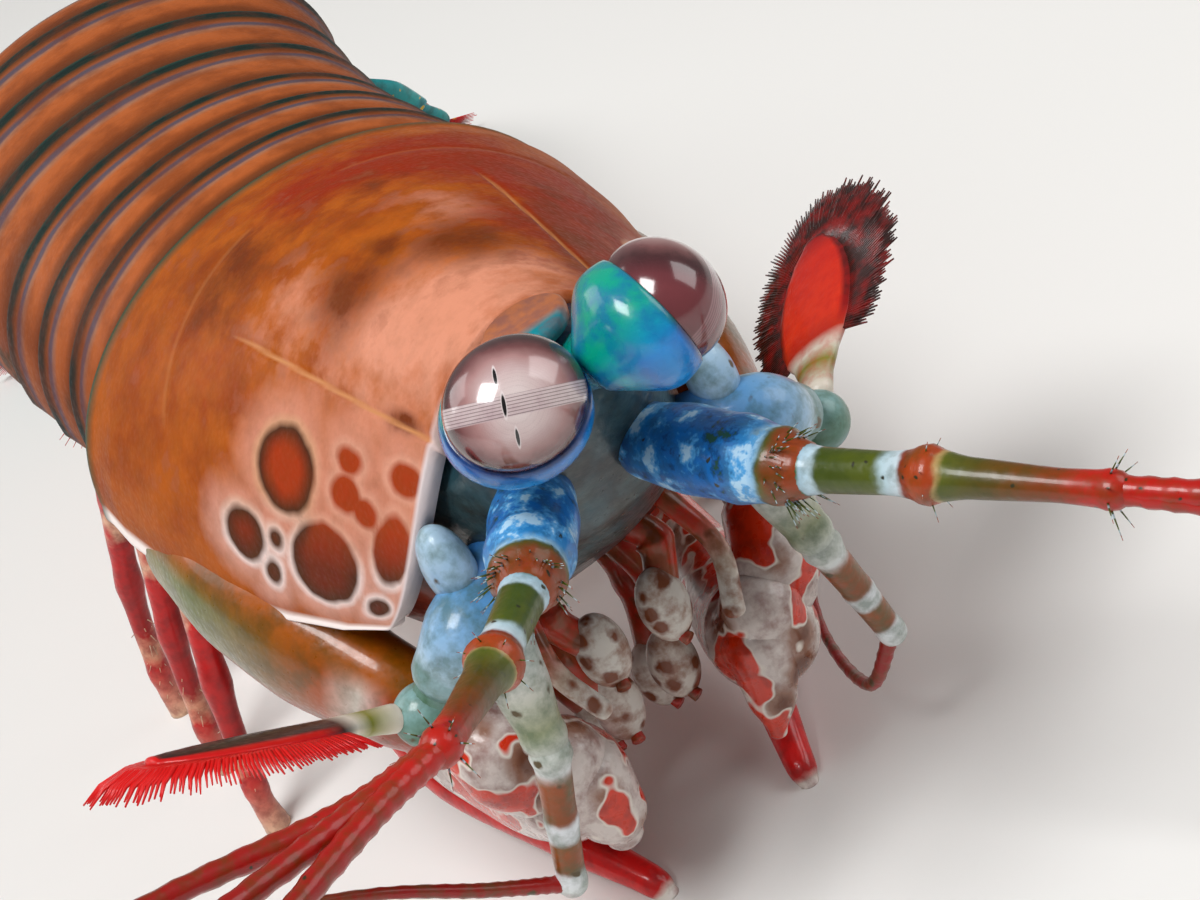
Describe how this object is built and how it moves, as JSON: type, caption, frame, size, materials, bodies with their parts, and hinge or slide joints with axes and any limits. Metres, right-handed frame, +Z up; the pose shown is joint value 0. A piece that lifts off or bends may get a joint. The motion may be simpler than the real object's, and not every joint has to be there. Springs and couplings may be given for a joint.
{
  "type": "mantis shrimp model",
  "caption": "Life-size still model of a peacock mantis shrimp standing alert, with folded striking claws, stalked eyes, feelers, legs, swimming paddles and tail fan.",
  "frame": {"origin": "on the floor, under the middle of the animal's bounding box", "axes": "+Z up, the head looks along -Y, +X is the animal's left"},
  "size_m": [0.077, 0.1744, 0.0407],
  "materials": {
    "carapace": "wet, glossy shell with spots",
    "trunk": "glossy shell",
    "tail": "glossy shell",
    "head": "glossy shell",
    "eye": "wet, glassy facets",
    "eye_stalk": "glossy shell",
    "antennule": "glossy shell",
    "antenna": "glossy shell",
    "antennal_scale": "glossy shell",
    "upper_arm": "glossy shell",
    "fist": "glossy shell, white with brown spots",
    "finger": "glossy shell",
    "maxilliped": "glossy shell",
    "leg": "glossy shell",
    "pleopod": "glossy shell"
  },
  "bodies": {
    "root": {"carapace": "carapace", "thorax_front": "head", "head": "head", "rostral_plate": "head", "thorax_6": "trunk", "thorax_7": "trunk", "thorax_8": "trunk", "abdomen_1": "trunk", "abdomen_2": "trunk", "abdomen_3": "trunk", "abdomen_4": "trunk", "abdomen_5": "trunk", "abdomen_6": "trunk", "telson": "tail", "uropod_L": "tail", "uropod_R": "tail", "pleopod_1_L": "pleopod", "pleopod_1_R": "pleopod", "pleopod_2_L": "pleopod", "pleopod_2_R": "pleopod", "pleopod_3_L": "pleopod", "pleopod_3_R": "pleopod", "pleopod_4_L": "pleopod", "pleopod_4_R": "pleopod", "pleopod_5_L": "pleopod", "pleopod_5_R": "pleopod", "eye_stalk_L": "eye_stalk", "eye_L": "eye", "eye_stalk_R": "eye_stalk", "eye_R": "eye", "antennule_L": "antennule", "antennule_R": "antennule", "antenna_L": "antenna", "antenna_R": "antenna", "antennal_scale_L": "antennal_scale", "antennal_scale_R": "antennal_scale", "raptorial_merus_L": "upper_arm", "raptorial_carpus_L": "fist", "raptorial_propodus_L": "fist", "raptorial_dactyl_L": "finger", "raptorial_merus_R": "upper_arm", "raptorial_carpus_R": "fist", "raptorial_propodus_R": "fist", "raptorial_dactyl_R": "finger", "maxilliped_1_L": "maxilliped", "maxilliped_3_L": "maxilliped", "maxilliped_4_L": "maxilliped", "maxilliped_5_L": "maxilliped", "maxilliped_1_R": "maxilliped", "maxilliped_3_R": "maxilliped", "maxilliped_4_R": "maxilliped", "maxilliped_5_R": "maxilliped", "walking_leg_1_L": "leg", "walking_leg_1_R": "leg", "walking_leg_2_L": "leg", "walking_leg_2_R": "leg", "walking_leg_3_L": "leg", "walking_leg_3_R": "leg"}
  },
  "joints": []
}
